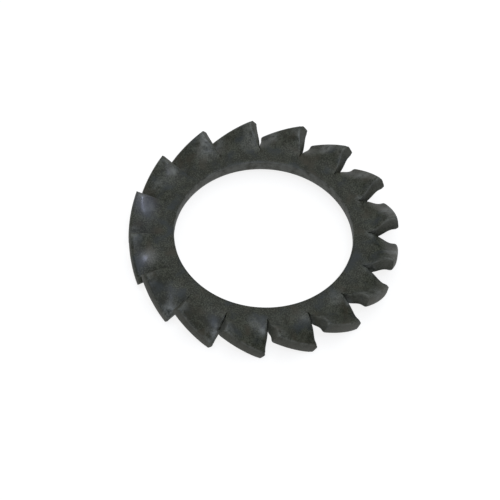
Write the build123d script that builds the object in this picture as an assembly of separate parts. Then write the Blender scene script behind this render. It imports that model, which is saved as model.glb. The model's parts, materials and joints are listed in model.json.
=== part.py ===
from build123d import *
import math
import os

# Toothed lock washer for a 12 mm bolt: one piece of spring steel sheet, stamped flat.
# Its rim is sheared into teeth, and each tooth is twisted about its own middle line, so that
# one corner bites up into the nut while the other bites down into the work.
# The origin is the centre of the bore, halfway through the sheet. +Z is the bore axis.

# Driving sizes, in millimetres and degrees
bore_diameter = 13.2
thickness = 1.0
ring_width = 0.9              # the flat ring, from the bore to the tooth roots
tooth_count = 16
tooth_length = 2.5            # from the root to the rim
twist_length = 1.9            # from the root, and the rest of the tooth is straight
tooth_twist = 36.0            # from the flat ring to the tip
slot_width = 0.10             # what shearing and twisting leave between two teeth
tooth_edge_break = 0.18       # tumbling after stamping takes the sharpness off these edges
bore_edge_break = 0.12

# How finely the twist is drawn, and how far a tooth is drawn past the rim before it is trimmed
section_count = 5
trim_allowance = 0.2

# Sizes that follow: the ring is 15 mm across its flats, and the washer 20 mm across its teeth
ring_across_flats = bore_diameter + 2 * ring_width
outside_diameter = ring_across_flats + 2 * tooth_length
root_distance = ring_across_flats / 2
rim_radius = outside_diameter / 2
pitch_angle = 360 / tooth_count


def twist_at(distance):
    """Turn of the tooth about its middle line, in degrees: it eases in at the root and out again."""
    share = min(max((distance - root_distance) / twist_length, 0), 1)
    return tooth_twist * share**2 * (3 - 2 * share)


def tooth_section(distance):
    """The tooth cut square across its middle line, at a distance from the bore axis."""
    width = 2 * distance * math.tan(math.radians(pitch_angle / 2)) - slot_width
    across = Vector(0, 1, 0).rotate(Axis.X, -twist_at(distance))
    return Plane((distance, 0, 0), x_dir=across, z_dir=(1, 0, 0)) * Rectangle(width, thickness)


def twisted_blank():
    """A tooth on +X that widens outwards between its two radial slots, with sharp edges."""
    step = (tooth_length + trim_allowance) / (section_count - 1)
    return loft([tooth_section(root_distance + step * i) for i in range(section_count)])


def make_tooth():
    """One finished tooth: its end is trimmed to the rim, and its upper and lower edges are broken.

    The rim is round in the flat sheet. The twist keeps each point as far from the centre of
    the bore as it was, so a sphere of the rim's radius gives the twisted tooth its end.
    The half turn puts the sphere's seam on the far side of the bore.
    """
    tooth = twisted_blank() & (Rot(Z=180) * Sphere(rim_radius))
    upper_and_lower = tooth.faces().sort_by(SortBy.AREA)[-2:]
    past_the_root = root_distance + tooth_edge_break
    free_edges = upper_and_lower.edges().filter_by_position(Axis.X, past_the_root, rim_radius)
    return chamfer(free_edges, tooth_edge_break)


def make_ring():
    """The flat ring, with one flat outside for each tooth root and broken bore edges."""
    outline = RegularPolygon(root_distance, tooth_count, major_radius=False, rotation=pitch_angle / 2)
    ring = extrude(outline, thickness / 2, both=True) - Cylinder(bore_diameter / 2, 2 * thickness)
    return chamfer(ring.edges().filter_by(GeomType.CIRCLE), bore_edge_break)


def make_lock_washer():
    """The whole washer: the ring and its teeth are one piece of steel."""
    tooth = make_tooth()
    teeth = [Rot(Z=pitch_angle * i) * tooth for i in range(tooth_count)]
    return make_ring().fuse(*teeth)


os.makedirs("parts", exist_ok=True)
lock_washer = make_lock_washer()
lock_washer.label = "lock_washer"
export_step(lock_washer, "parts/lock_washer.step")
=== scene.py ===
import json
import math

import bpy
from mathutils import Matrix, Vector


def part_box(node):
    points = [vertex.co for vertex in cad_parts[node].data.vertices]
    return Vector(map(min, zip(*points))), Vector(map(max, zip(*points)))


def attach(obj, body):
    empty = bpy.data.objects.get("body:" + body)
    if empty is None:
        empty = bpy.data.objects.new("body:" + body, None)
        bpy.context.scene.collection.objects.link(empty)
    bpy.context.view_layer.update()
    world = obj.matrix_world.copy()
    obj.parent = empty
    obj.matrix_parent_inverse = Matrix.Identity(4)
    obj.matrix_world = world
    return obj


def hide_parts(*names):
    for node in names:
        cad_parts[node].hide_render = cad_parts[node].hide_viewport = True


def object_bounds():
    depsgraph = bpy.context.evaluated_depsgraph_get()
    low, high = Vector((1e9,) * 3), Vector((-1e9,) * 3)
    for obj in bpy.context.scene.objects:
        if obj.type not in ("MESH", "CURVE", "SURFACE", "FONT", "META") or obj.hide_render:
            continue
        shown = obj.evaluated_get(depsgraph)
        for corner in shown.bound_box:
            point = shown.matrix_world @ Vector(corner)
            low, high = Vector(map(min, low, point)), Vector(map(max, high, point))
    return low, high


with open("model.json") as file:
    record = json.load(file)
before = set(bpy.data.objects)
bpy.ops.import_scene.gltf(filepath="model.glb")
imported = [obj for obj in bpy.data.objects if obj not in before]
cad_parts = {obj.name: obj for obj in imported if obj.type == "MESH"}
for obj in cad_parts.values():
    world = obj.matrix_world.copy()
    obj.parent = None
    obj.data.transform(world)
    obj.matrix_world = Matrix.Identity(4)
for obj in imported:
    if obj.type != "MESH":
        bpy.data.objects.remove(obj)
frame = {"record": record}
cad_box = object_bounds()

mm = 0.001


# The washer
# One piece of spring steel sheet. Its rim is sheared into sixteen teeth and each tooth is
# twisted in the press. It is then hardened, tumbled until the burrs are off, and given a dark
# grey-green phosphate finish with a little oil, which rubs off first on edges and corners.

class Value:
    """One value in a node tree. Arithmetic on it, with numbers or with other values, adds Math nodes."""

    def __init__(self, bench, socket):
        self.bench = bench
        self.socket = socket

    def math(self, operation, *others):
        inputs = {i: value for i, value in enumerate((self, *others))}
        return self.bench.node("ShaderNodeMath", {"operation": operation}, inputs)

    def __add__(self, other):
        return self.math("ADD", other)

    def __sub__(self, other):
        return self.math("SUBTRACT", other)

    def __mul__(self, other):
        return self.math("MULTIPLY", other)

    def __truediv__(self, other):
        return self.math("DIVIDE", other)

    def __pow__(self, other):
        return self.math("POWER", other)

    def __rsub__(self, other):
        return self * -1 + other

    def __rtruediv__(self, other):
        return (self / other) ** -1

    __radd__ = __add__
    __rmul__ = __mul__

    def size(self):
        return self.math("ABSOLUTE")

    def at_least(self, other):
        return self.math("MAXIMUM", other)

    def at_most(self, other):
        return self.math("MINIMUM", other)

    def eased(self, start, end):
        """0 up to start, 1 past end, with a smooth rise between them."""
        settings = {"interpolation_type": "SMOOTHSTEP"}
        inputs = {"Value": self, "From Min": start, "From Max": end, "To Min": 0.0, "To Max": 1.0}
        return self.bench.node("ShaderNodeMapRange", settings, inputs, "Result")


class Bench:
    """A node tree in the making."""

    def __init__(self, tree):
        self.tree = tree

    def node(self, kind, settings=None, inputs=None, output=0):
        """Adds a node: its settings come first, then the values or links of its sockets."""
        node = self.tree.nodes.new(kind)
        for name, setting in (settings or {}).items():
            setattr(node, name, setting)
        for name, value in (inputs or {}).items():
            socket = self.find(node.inputs, name)
            if isinstance(value, Value):
                self.tree.links.new(value.socket, socket)
            else:
                socket.default_value = value
        return Value(self, self.find(node.outputs, output))

    def find(self, sockets, name):
        """A socket by its place, or else by its identifier or name."""
        if isinstance(name, int):
            return sockets[name]
        return next((s for s in sockets if s.identifier == name), None) or sockets[name]

    def parts_of(self, vector):
        """The x, y and z of a vector."""
        parts = self.node("ShaderNodeSeparateXYZ", inputs={0: vector})
        return [Value(self, socket) for socket in parts.socket.node.outputs]

    def vector(self, x, y, z):
        return self.node("ShaderNodeCombineXYZ", inputs={"X": x, "Y": y, "Z": z})

    def scaled(self, vector, scale):
        return self.node("ShaderNodeVectorMath", {"operation": "SCALE"}, {0: vector, "Scale": scale})

    def attribute(self, name):
        """A number that is stored on the mesh, read by a material."""
        return self.node("ShaderNodeAttribute", {"attribute_name": name}, output="Fac")

    def noise(self, place, lump, detail=2.0, roughness=0.5, seed=0.0):
        """Smooth noise of about 0 to 1, whose largest lumps measure about lump across."""
        settings = {"noise_dimensions": "4D"}
        inputs = {"Vector": place, "W": seed, "Scale": 1 / lump, "Detail": detail, "Roughness": roughness}
        return self.node("ShaderNodeTexNoise", settings, inputs)

    def mixed(self, share, one, other):
        """One colour at share 0 and the other at share 1."""
        inputs = {"Factor_Float": share, "A_Color": one, "B_Color": other}
        return self.node("ShaderNodeMix", {"data_type": "RGBA"}, inputs, "Result_Color")


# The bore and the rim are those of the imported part.
bore_mount = next(m for m in frame["record"]["mounts"] if m["kind"] == "bore")
washer_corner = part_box("lock_washer")[1]
unevenness = 0.006 * mm
washer_sizes = {
    "Bore radius": bore_mount["dims"]["r_mm"] * mm,
    "Rim radius": washer_corner.x - unevenness,
    "Thickness": 1.0 * mm,
    "Ring width": 0.9 * mm,
    "Teeth": 16,
    "Twist length": 1.9 * mm,
    "Twist": math.radians(36),
    "Twist spread": 0.03,
    "Twist seed": 5,
    "Slot width": 0.04 * mm,
    "Slot fade": 0.80 * mm,
    "Bore rounding": 0.18 * mm,
    "Side rounding": 0.22 * mm,
    "Tip rounding": 0.28 * mm,
    "Unevenness": unevenness,
    "Lump seed": 5.0,
}
lump_size = 0.9 * mm
weld_distance = 0.001 * mm

# The stations of the mesh: how many there are, how many of the steps between them lie on the
# ring, and how much the steps shorten towards the bore, the rim, a side or a face.
outward_stations = 54
sideways_stations = 34
upward_stations = 9
ring_steps = 14
ring_share = ring_steps / (outward_stations - 1)
bore_crowding = 0.55
rim_crowding = 0.45
side_crowding = 0.30
face_crowding = 0.35

# How softly a cut face passes into the rolled ones, as a share of the rounding between them
cut_blend = 0.25


def make_copies(bench, place, size):
    """A block for every tooth, all in one place, each with the number of its tooth stored on it.

    A block reaches from -1 to 1 outwards, sideways and upwards. The ring's share of its two
    sides is open, because the next block joins on there. The copies are made real before they
    are bent, because each tooth has a twist of its own.
    """
    inputs = {
        "Size": (2, 2, 2),
        "Vertices X": outward_stations,
        "Vertices Y": sideways_stations,
        "Vertices Z": upward_stations,
    }
    block = bench.node("GeometryNodeMeshCube", inputs=inputs, output="Mesh")
    outwards, sideways = bench.parts_of(place)[:2]
    nearly_one = 0.999
    on_side = sideways.size().math("GREATER_THAN", nearly_one)
    on_ring = outwards.math("LESS_THAN", 2 * ring_share - 1)
    inputs = {"Geometry": block, "Selection": on_side * on_ring}
    block = bench.node("GeometryNodeDeleteGeometry", {"domain": "FACE"}, inputs)
    points = bench.node("GeometryNodePoints", inputs={"Count": size["Teeth"]})
    copies = bench.node("GeometryNodeInstanceOnPoints", inputs={"Points": points, "Instance": block})
    inputs = {"Geometry": copies, "Name": "tooth", "Value": bench.node("GeometryNodeInputIndex")}
    settings = {"data_type": "FLOAT", "domain": "INSTANCE"}
    copies = bench.node("GeometryNodeStoreNamedAttribute", settings, inputs)
    return bench.node("GeometryNodeRealizeInstances", inputs={"Geometry": copies})


def store(bench, geometry, name, value):
    """Stores a number at every vertex, for the material to read."""
    inputs = {"Geometry": geometry, "Name": name, "Value": value}
    return bench.node("GeometryNodeStoreNamedAttribute", {"data_type": "FLOAT"}, inputs)


def roundness(one, other):
    """How far the corner between two faces is drawn in: 1 away from it, and less towards it."""
    tiny = 0.0001
    return (one.at_least(other) + tiny) / ((one * one + other * other) ** 0.5 + tiny)


def past(value, low, high):
    """The value held between two limits, and what is past them."""
    held = value.at_least(low).at_most(high)
    return held, value - held


def make_washer_tree():
    """Bends the copies of a block into the washer's teeth, each with its share of the ring."""
    tree = bpy.data.node_groups.new("twisted_teeth", "GeometryNodeTree")
    tree.interface.new_socket("Geometry", in_out="INPUT", socket_type="NodeSocketGeometry")
    for name, value in washer_sizes.items():
        kind = "NodeSocketInt" if isinstance(value, int) else "NodeSocketFloat"
        tree.interface.new_socket(name, in_out="INPUT", socket_type=kind)
    tree.interface.new_socket("Steel", in_out="INPUT", socket_type="NodeSocketMaterial")
    tree.interface.new_socket("Geometry", in_out="OUTPUT", socket_type="NodeSocketGeometry")
    bench = Bench(tree)
    given = tree.nodes.new("NodeGroupInput")
    size = {socket.name: Value(bench, socket) for socket in given.outputs if socket.name}
    place = bench.node("GeometryNodeInputPosition")
    washer = make_copies(bench, place, size)
    outwards, sideways, upwards = bench.parts_of(place)

    # Outwards: from the bore to the slots' inner ends, and from there to the rim, with short
    # steps near the bore and the rim.
    half_pitch = math.pi / size["Teeth"]
    bore = size["Bore radius"]
    root = bore + size["Ring width"]
    slot_start = root / half_pitch.math("COSINE")
    share = outwards * 0.5 + 0.5
    inner = (share / ring_share).at_most(1)
    outer = ((share - ring_share) / (1 - ring_share)).at_least(0)
    ring_reach = (slot_start - bore) * inner * (inner * bore_crowding + (1 - bore_crowding))
    tooth_reach = (size["Rim radius"] - slot_start) * outer * (1 + rim_crowding - outer * rim_crowding)
    radius = bore + ring_reach + tooth_reach

    # Sideways and upwards, also with short steps near the edges.
    slot_opening = ((radius - slot_start) / size["Slot width"]).at_most(1).at_least(0)
    half_width = radius * half_pitch - size["Slot width"] * 0.5 * slot_opening
    half_thickness = size["Thickness"] * 0.5
    beside = sideways * (1 + side_crowding - sideways * sideways * side_crowding) * half_width
    height = upwards * (1 + face_crowding - upwards * upwards * face_crowding) * half_thickness

    # The edges are rounded by drawing in what lies near them. They are rounder at the tips,
    # and the slots' inner ends stay sharp.
    side_rounding_start = root - size["Ring width"] * 0.6
    tip_rounding_start = root + size["Twist length"] * 0.5
    side_share = radius.eased(side_rounding_start, slot_start)
    tip_share = radius.eased(tip_rounding_start, size["Rim radius"])
    rounding = size["Bore rounding"] + (size["Side rounding"] - size["Bore rounding"]) * side_share
    rounding = rounding + (size["Tip rounding"] - size["Side rounding"]) * tip_share
    side_limit = half_width - rounding
    face_limit = half_thickness - rounding
    radius_held, radius_past = past(radius, bore + rounding, size["Rim radius"] - rounding)
    beside_held, beside_past = past(beside, side_limit * -1, side_limit)
    height_held, height_past = past(height, face_limit * -1, face_limit)
    to_end = (radius_past / rounding).size()
    to_side = (beside_past / rounding).size() * radius.eased(slot_start, slot_start + size["Slot fade"])
    to_face = (height_past / rounding).size()
    by_end = roundness(to_end, to_face)
    by_side = roundness(to_side, to_face)
    turn = (beside_held + beside_past * by_side) / radius
    radius = radius_held + radius_past * by_end
    height = height_held + height_past * by_end * by_side

    # What the material needs to know: how near an edge is, and which faces were cut.
    to_wall = to_end.at_least(to_side)
    washer = store(bench, washer, "edge", to_wall.at_most(to_face))
    washer = store(bench, washer, "cut", (to_wall - to_face).eased(-cut_blend, cut_blend))

    # The twist of each tooth about its own middle line, and its place round the bore.
    along = radius * turn.math("COSINE")
    beside = radius * turn.math("SINE")
    settings = {"data_type": "FLOAT"}
    tooth = bench.node("GeometryNodeInputNamedAttribute", settings, {"Name": "tooth"}, "Attribute")
    inputs = {"ID": tooth, "Seed": size["Twist seed"], "Min_001": 0.0, "Max_001": 1.0}
    luck = bench.node("FunctionNodeRandomValue", {"data_type": "FLOAT"}, inputs, "Value_001")
    twist = size["Twist"] * (1 - size["Twist spread"] * luck)
    bend = twist * along.eased(root, root + size["Twist length"]) * -1
    lean, lift = bend.math("COSINE"), bend.math("SINE")
    twisted_beside = beside * lean - height * lift
    twisted_height = beside * lift + height * lean
    heading = tooth * half_pitch * 2
    ahead, aside = heading.math("COSINE"), heading.math("SINE")
    x = along * ahead - twisted_beside * aside
    y = along * aside + twisted_beside * ahead
    inputs = {"Geometry": washer, "Position": bench.vector(x, y, twisted_height)}
    washer = bench.node("GeometryNodeSetPosition", inputs=inputs)
    inputs = {"Geometry": washer, "Distance": weld_distance}
    washer = bench.node("GeometryNodeMergeByDistance", inputs=inputs)

    # Tumbling leaves the faces slightly uneven.
    lumps = bench.noise(place, lump_size, seed=size["Lump seed"]) * 2 - 1
    offset = bench.scaled(bench.node("GeometryNodeInputNormal"), size["Unevenness"] * lumps)
    washer = bench.node("GeometryNodeSetPosition", inputs={"Geometry": washer, "Offset": offset})
    washer = bench.node("GeometryNodeSetShadeSmooth", inputs={"Geometry": washer})
    inputs = {"Geometry": washer, "Material": size["Steel"]}
    washer = bench.node("GeometryNodeSetMaterial", inputs=inputs)
    finished = tree.nodes.new("NodeGroupOutput")
    tree.links.new(washer.socket, finished.inputs["Geometry"])
    return tree


# The finish's colours, and the colours of its painted highlights
thick_phosphate = (0.015, 0.017, 0.010, 1)
thin_phosphate = (0.062, 0.068, 0.050, 1)
brown_phosphate = (0.044, 0.039, 0.026, 1)
blue_phosphate = (0.027, 0.034, 0.036, 1)
sheared_phosphate = (0.068, 0.070, 0.058, 1)
# Bare steel where the finish is rubbed off; the same colour also paints highlights and reflections in the
# listed pale spots
bare_steel_and_highlight = (0.210, 0.222, 0.214, 1)
# A violet painted highlight: the cool lamp's glint on the left teeth, painted into the colour
painted_violet_highlight = (0.070, 0.076, 0.110, 1)

# The sizes of its crystals, mottling, patches and clouds
crystal_size = 0.10 * mm
mottle_size = 0.5 * mm
patch_size = 1.1 * mm
cloud_size = 2.6 * mm

# How much each of them thins the crystals' layer, against how thick it is all over
crystal_thinning = 3.5
mottle_thinning = 1.8
cloud_thinning = 0.6
ring_thickening = 0.2
base_thickness = 2.45

# Where each share rises from 0 to 1: over the noises, over the edge's rounding, and by distance
# from the bore axis or from the middle of the sheet
cast_rise = (0.50, 0.75)
mottle_rise = (0.30, 0.65)
crest_rise = (0.35, 0.95)
ring_fade = (7.2 * mm, 8.4 * mm)
bore_fade = (6.65 * mm, 6.90 * mm)
corner_rise = (0.80 * mm, 1.40 * mm)

# How strong the casts are, how pale the cut faces, and how far each place is rubbed
cast_strength = 0.9
sheared_least = 0.35
sheared_mottling = 0.5
crest_rubbing = 0.2
bore_rubbing = 0.35
corner_rubbing = 0.3
rubbed_metal = 0.5

# Relief, roughness and oil
crystal_relief = 0.6
relief_strength = 0.6
relief_depth = 0.02 * mm
least_roughness = 0.36
mottle_roughness = 0.25
cut_roughness = 0.1
oil_film = 0.15

# Spots on the washer: place and reach in millimetres, and amount
# Pale spots: wear, and also painted highlights, painted reflections on the outer ends of the teeth at the
# right, and painted light in the shaded clefts at the slots' inner ends
rubbed_and_highlight_spots = (
    ((-5.5, 6.8, 1.0), 1.4, 0.45),
    ((-5.7, 7.4, 1.0), 0.9, 0.30),
    ((-2.3, 8.3, 0.9), 1.2, 0.30),
    ((-0.8, 9.4, 0.1), 1.0, 0.70),
    ((1.4, 8.8, 1.1), 0.9, 0.20),
    ((3.4, 8.8, 0.5), 0.9, 1.00),
    ((6.4, 6.8, 0.5), 0.9, 0.70),
    ((8.8, 3.9, 0.5), 1.1, 1.00),
    ((9.6, 0.2, 0.6), 1.1, 1.00),
    ((9.1, -3.8, 0.5), 1.0, 0.40),
    ((-4.8, 8.2, -0.3), 0.8, 0.60),
    ((-7.5, 4.1, 0.9), 0.5, 0.55),
    ((-8.5, 3.1, 0.3), 0.8, 0.50),
    ((-8.7, 0.6, 0.9), 0.8, 0.45),
    ((-9.5, -1.2, -0.2), 0.7, 0.50),
    ((-5.6, -7.6, -0.3), 1.0, 1.00),
    ((-2.0, -9.0, -0.4), 1.1, 1.20),
    ((0.7, -7.9, 0.5), 0.9, 0.30),
    ((2.2, -7.8, 0.6), 0.7, 0.20),
    ((4.0, -6.8, 0.5), 0.8, 0.20),
    ((6.1, -4.7, 0.5), 1.0, 0.30),
    ((6.6, 4.4, 0.4), 0.6, 0.80),
    ((7.8, 1.5, 0.4), 0.6, 0.60),
    ((8.2, -1.5, 0.2), 0.7, 1.10),
    ((7.1, -4.7, 0.1), 0.6, 0.80),
    ((4.8, -6.9, 0.2), 0.6, 0.80),
    ((1.4, -8.4, 0.1), 0.6, 0.80),
    ((-1.8, -8.6, 0.4), 0.6, 0.90),
)
# Dark spots: a thicker crystal layer and painted shade, some of it laid over the lamp's highlights
thick_and_shade_spots = (
    ((-9.4, -1.0, 0.1), 1.1, 0.40),
    ((-8.8, -3.4, 0.7), 1.0, 0.30),
    ((-6.9, -6.4, 0.9), 1.6, 0.50),
    ((-4.0, -8.3, 0.7), 1.2, 0.40),
    ((-5.0, -6.8, 0.5), 0.9, 0.35),
    ((-6.8, 4.3, 0.6), 0.8, 0.40),
    ((-8.7, -4.5, 0.0), 1.1, 0.50),
    ((-7.7, -3.3, 0.5), 0.8, 0.40),
    ((-4.3, -8.3, 1.2), 0.8, 0.50),
    ((-4.1, -9.1, 0.0), 0.8, 0.60),
    ((-6.0, -7.1, 0.0), 0.9, 0.60),
    ((-3.8, -9.1, 0.4), 0.8, 0.40),
    ((-0.9, -9.4, 1.2), 0.7, 0.35),
    ((1.1, 9.0, 1.2), 0.6, 0.40),
    ((-8.2, 0.9, 0.6), 0.7, 0.35),
    ((-1.2, -8.2, 0.0), 0.7, 0.50),
    ((-2.5, -8.3, 0.2), 1.0, 0.70),
)
oily_spots = (
    ((-9.2, 1.0, 1.2), 1.3, 1.00),
    ((-7.9, -3.6, 0.4), 1.0, 0.90),
    ((-7.5, 4.4, 1.0), 0.9, 0.60),
)
# Where the violet painted highlight lies, around the lamp's glints on the left teeth
violet_highlight_spots = (
    ((-9.0, 0.8, 1.0), 1.5, 0.55),
    ((-8.8, -1.2, 0.4), 1.5, 0.15),
    ((-8.1, -4.0, 0.3), 1.1, 0.15),
)


def spotted(bench, place, spots):
    """The amount of each spot at its middle, fading out to nothing at its reach."""
    total = 0
    for middle, reach, amount in spots:
        inputs = {0: place, 1: Vector(middle) * mm}
        away = bench.node("ShaderNodeVectorMath", {"operation": "DISTANCE"}, inputs, "Value")
        total = (1 - away.eased(0.0, reach * mm)) * amount + total
    return total


def make_steel():
    """Phosphated steel, lightly oiled: grey-green crystals, mottled, and pale where they are rubbed, with
    painted highlights and painted shade in listed spots.
    """
    steel = bpy.data.materials.new("phosphated_steel")
    steel.use_nodes = True
    bench = Bench(steel.node_tree)
    place = bench.node("ShaderNodeTexCoord", output="Object")
    crystals = bench.noise(place, crystal_size, detail=1.0, seed=1.0)
    mottle = bench.noise(place, mottle_size, detail=3.0, roughness=0.6, seed=2.0)
    patches = bench.noise(place, patch_size, detail=2.0, seed=3.0)
    clouds = bench.noise(place, cloud_size, detail=2.0, seed=4.0)

    # Colour: the crystals lie thicker in some places than in others, with a brown or blue cast.
    x, y, z = bench.parts_of(place)
    from_axis = (x * x + y * y) ** 0.5
    on_ring = 1 - from_axis.eased(*ring_fade)
    thinness_and_shade = crystals * crystal_thinning + mottle * mottle_thinning + clouds * cloud_thinning
    thinness_and_shade = thinness_and_shade - on_ring * ring_thickening - base_thickness
    # The listed dark spots paint shade into the colour, as well as a thicker crystal layer
    thinness_and_shade = thinness_and_shade - spotted(bench, place, thick_and_shade_spots)
    colour = bench.mixed(thinness_and_shade.eased(0.0, 1.0), thick_phosphate, thin_phosphate)
    colour = bench.mixed(patches.eased(*cast_rise) * cast_strength, colour, brown_phosphate)
    colour = bench.mixed((1 - patches).eased(*cast_rise) * cast_strength, colour, blue_phosphate)

    # The cut faces are paler, unevenly.
    cut = bench.attribute("cut")
    mottling = mottle.eased(*mottle_rise)
    colour = bench.mixed(cut * (mottling * sheared_mottling + sheared_least), colour, sheared_phosphate)

    # Wear: the crests of the edges, the bore and the corners that stand out are rubbed first,
    # unevenly. The listed pale spots add wear, and also painted highlights and painted reflections.
    # A violet painted highlight is laid over the glints on the left teeth.
    crest = bench.attribute("edge").eased(*crest_rise)
    in_bore = cut * (1 - from_axis.eased(*bore_fade))
    corners = z.size().eased(*corner_rise) * (1 - cut)
    worn_and_highlit = crest * crest_rubbing + in_bore * bore_rubbing + corners * corner_rubbing
    # The listed pale spots: wear, and painted highlights and painted reflections
    worn_and_highlit = worn_and_highlit + spotted(bench, place, rubbed_and_highlight_spots)
    worn_and_highlit = (worn_and_highlit * mottling).at_most(1)
    colour = bench.mixed(worn_and_highlit, colour, bare_steel_and_highlight)
    # The violet painted highlight on the left teeth
    colour = bench.mixed(spotted(bench, place, violet_highlight_spots), colour, painted_violet_highlight)

    relief = crystals * crystal_relief + mottle
    inputs = {"Height": relief, "Strength": relief_strength, "Distance": relief_depth}
    varied = {
        "Base Color": colour,
        "Roughness": least_roughness + mottle * mottle_roughness + cut * cut_roughness,
        "Metallic": worn_and_highlit * rubbed_metal,
        "Coat Weight": spotted(bench, place, oily_spots) + clouds * oil_film,
        "Normal": bench.node("ShaderNodeBump", inputs=inputs),
    }
    shader = steel.node_tree.nodes["Principled BSDF"]
    shader.inputs["Specular IOR Level"].default_value = 0.35
    shader.inputs["Coat Roughness"].default_value = 0.25
    for name, value in varied.items():
        steel.node_tree.links.new(value.socket, shader.inputs[name])
    return steel


blank = bpy.data.objects.new("blank", bpy.data.meshes.new("blank"))
bpy.context.scene.collection.objects.link(blank)
forming = blank.modifiers.new("forming", "NODES")
forming.node_group = make_washer_tree()
settings = {**washer_sizes, "Steel": make_steel()}
for socket in forming.node_group.interface.items_tree:
    if socket.name in settings:
        forming[socket.identifier] = settings[socket.name]
formed = blank.evaluated_get(bpy.context.evaluated_depsgraph_get())
washer = bpy.data.objects.new("twisted_tooth_washer", bpy.data.meshes.new_from_object(formed))
blank.modifiers.remove(forming)
bpy.data.objects.remove(blank)
washer.data.materials.pop(index=0)
bpy.context.scene.collection.objects.link(washer)
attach(washer, "root")
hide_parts("lock_washer")


# The table top
# A plain sheet of white acrylic that glows a little from below, so that shadows on it nearly
# vanish. The steel doesn't mirror so bright a sheet, so it is hidden from reflected light.
floor_reach = 400 * mm
floor_height = cad_box[0][2]
floor_signs = ((-1, -1), (1, -1), (1, 1), (-1, 1))
floor_corners = [(x * floor_reach, y * floor_reach, floor_height) for x, y in floor_signs]
floor_mesh = bpy.data.meshes.new("table_top")
floor_mesh.from_pydata(floor_corners, [], [(0, 1, 2, 3)])
floor = bpy.data.objects.new("table_top", floor_mesh)
bpy.context.scene.collection.objects.link(floor)
acrylic = bpy.data.materials.new("white_acrylic")
acrylic.use_nodes = True
acrylic_shader = acrylic.node_tree.nodes["Principled BSDF"]
acrylic_shader.inputs["Base Color"].default_value = (0.25, 0.25, 0.25, 1)
acrylic_shader.inputs["Roughness"].default_value = 0.6
acrylic_shader.inputs["Emission Color"].default_value = (1, 1, 1, 1)
acrylic_shader.inputs["Emission Strength"].default_value = 0.84
floor_mesh.materials.append(acrylic)
floor.visible_glossy = False
floor.visible_diffuse = False


# The light
# A dim grey room that is paler low down, a wide soft box overhead, and a small cool lamp high
# in front and to the right, which makes the glints.
low_light = 0.66
high_light = 0.34
room = bpy.data.worlds.new("grey_room")
room.use_nodes = True
room_bench = Bench(room.node_tree)
upwards = room_bench.parts_of(room_bench.node("ShaderNodeTexCoord", output="Generated"))[2]
room_light = low_light - upwards.eased(-0.3, 0.4) * (low_light - high_light)
room_shader = room.node_tree.nodes["Background"]
room_shader.inputs["Color"].default_value = (1, 1, 1, 1)
room.node_tree.links.new(room_light.socket, room_shader.inputs["Strength"])
bpy.context.scene.world = room
bpy.context.scene.view_settings.view_transform = "Standard"


def from_washer(bearing, height, distance):
    """A place seen from the washer: bearing and height in degrees, from +X and from the table."""
    bearing, height = math.radians(bearing), math.radians(height)
    level = math.cos(height)
    return Vector((math.cos(bearing) * level, math.sin(bearing) * level, math.sin(height))) * distance


def add_soft_box(name, place, width, power, colour):
    """A square soft light that faces the washer."""
    light = bpy.data.lights.new(name, "AREA")
    light.shape = "SQUARE"
    light.size = width
    light.energy = power
    light.color = colour
    box = bpy.data.objects.new(name, light)
    box.matrix_world = Matrix.Translation(place) @ place.to_track_quat("Z", "Y").to_matrix().to_4x4()
    bpy.context.scene.collection.objects.link(box)


overhead = from_washer(bearing=0, height=86, distance=650 * mm)
add_soft_box("overhead_box", overhead, width=800 * mm, power=2.2, colour=(0.95, 0.98, 1.0))
in_front = from_washer(bearing=-62, height=62, distance=590 * mm)
add_soft_box("lamp", in_front, width=80 * mm, power=0.45, colour=(0.66, 0.73, 1.0))


# The camera
# It looks down on the washer from the front, and a little from the right. The washer stands a
# little to the right of the picture's middle and a little above it.
camera_distance = 236 * mm
camera_roll = math.radians(3.8)
picture_width = 500
pixels_per_mm = 13.55
pixels_right = 13.5
pixels_up = 12.9
camera_data = bpy.data.cameras.new("camera")
camera_data.sensor_width = 36
camera_data.lens = pixels_per_mm * camera_distance / mm / picture_width * camera_data.sensor_width
camera_data.shift_x = -pixels_right / picture_width
camera_data.shift_y = -pixels_up / picture_width
camera_data.clip_start = 10 * mm
camera = bpy.data.objects.new("camera", camera_data)
bpy.context.scene.collection.objects.link(camera)
bpy.context.scene.camera = camera
eye = from_washer(bearing=-83.85, height=53.65, distance=camera_distance)
camera.matrix_world = (
    Matrix.Translation(eye)
    @ eye.to_track_quat("Z", "Y").to_matrix().to_4x4()
    @ Matrix.Rotation(camera_roll, 4, "Z")
)
